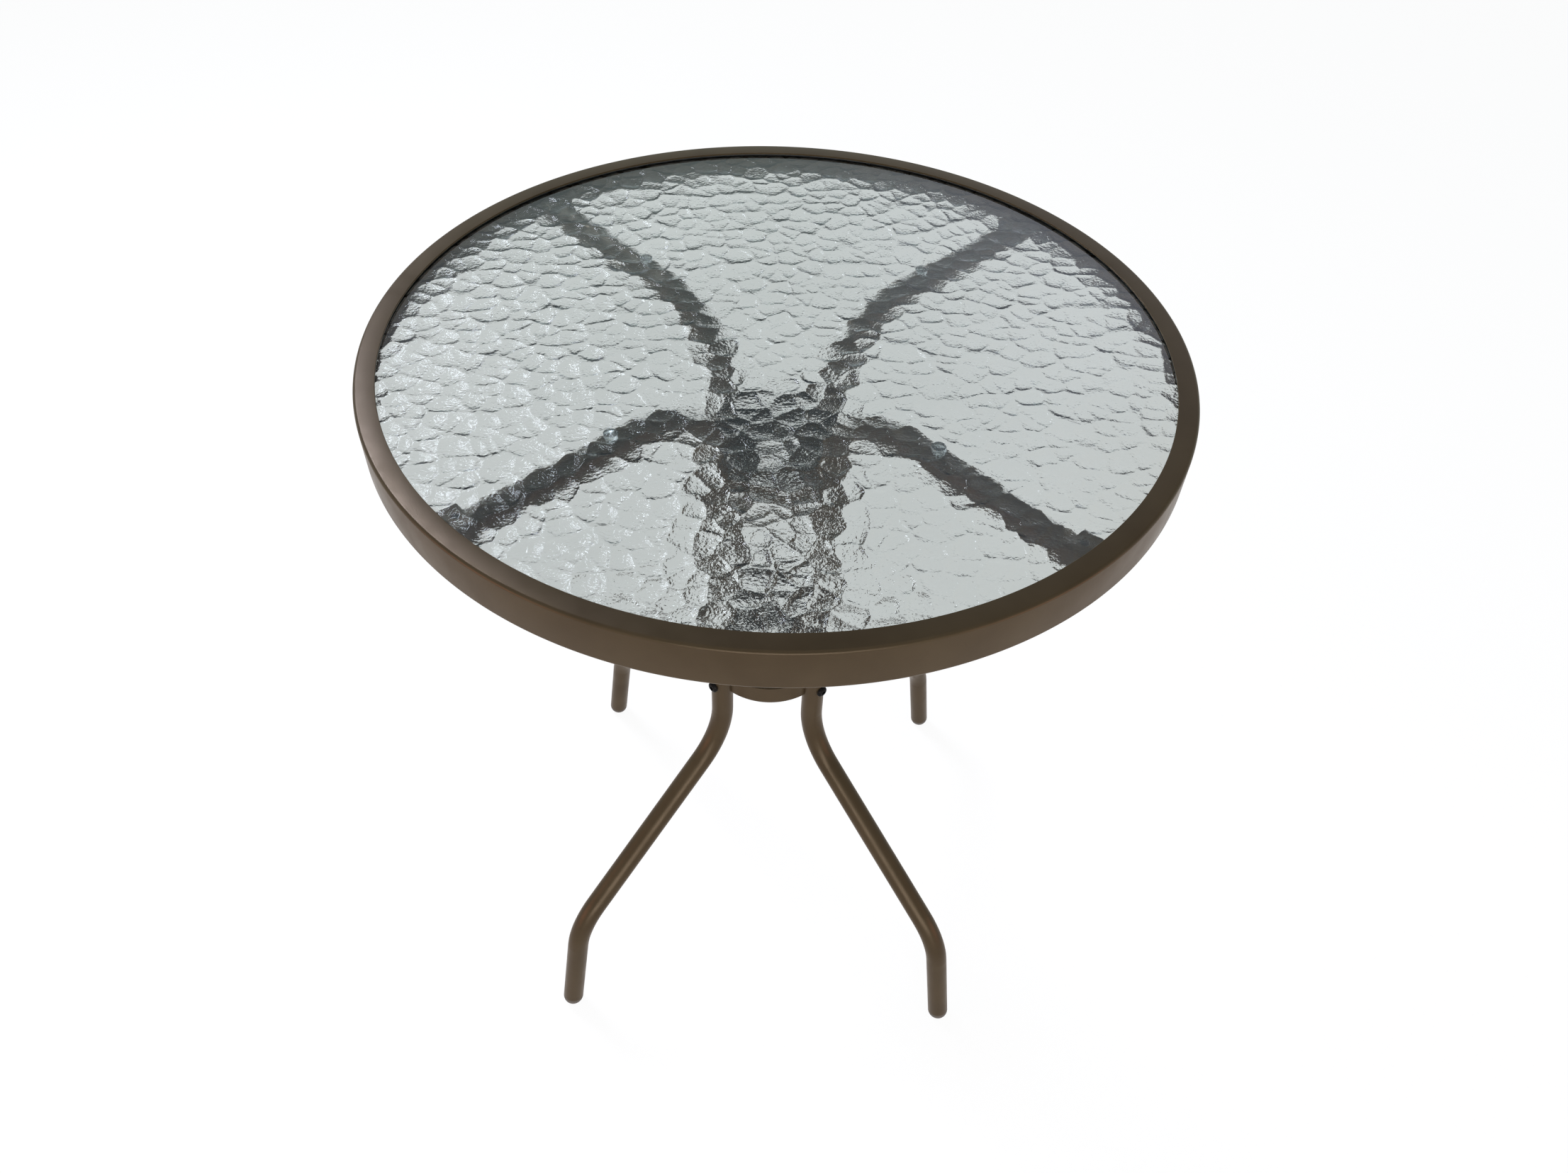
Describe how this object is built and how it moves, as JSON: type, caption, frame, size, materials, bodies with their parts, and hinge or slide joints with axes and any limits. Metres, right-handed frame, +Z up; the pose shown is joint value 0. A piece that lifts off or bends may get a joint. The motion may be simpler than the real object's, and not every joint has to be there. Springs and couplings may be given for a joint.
{
  "type": "garden table",
  "caption": "Round garden table: rippled glass top in a flat-lipped steel rim, on bent tube legs bolted to centre hubs and spreading to domed feet.",
  "frame": {"origin": "on the floor, under the middle of the round top", "axes": "+Z up; the front faces -Y; the legs stand on the diagonals between X and Y"},
  "size_m": [0.6, 0.6, 0.7],
  "materials": {
    "frame_paint": "satin dark brown powder coat",
    "glass": "tempered glass with a rippled pebble pattern",
    "seal": "matt black",
    "foot_plastic": "satin dark brown",
    "black_bolts": "black oxide",
    "zinc_steel": "zinc plated",
    "clear_pads": "clear silicone"
  },
  "bodies": {
    "root": {"bracket_bolts": "black_bolts", "bracket_washers": "zinc_steel", "foot_plug_back_left": "foot_plastic", "foot_plug_back_right": "foot_plastic", "foot_plug_front_left": "foot_plastic", "foot_plug_front_right": "foot_plastic", "glass_edge_seal": "seal", "glass_pads": "clear_pads", "glass_top": "glass", "leg_back_left": "frame_paint", "leg_back_right": "frame_paint", "leg_front_left": "frame_paint", "leg_front_right": "frame_paint", "lower_hub": "frame_paint", "lower_hub_bolts": "black_bolts", "lower_hub_nuts": "zinc_steel", "rim_bracket_back_left": "frame_paint", "rim_bracket_back_right": "frame_paint", "rim_bracket_front_left": "frame_paint", "rim_bracket_front_right": "frame_paint", "rim_hoop": "frame_paint", "upper_hub": "frame_paint", "upper_hub_bolts": "black_bolts", "upper_hub_nuts": "zinc_steel"}
  },
  "joints": []
}
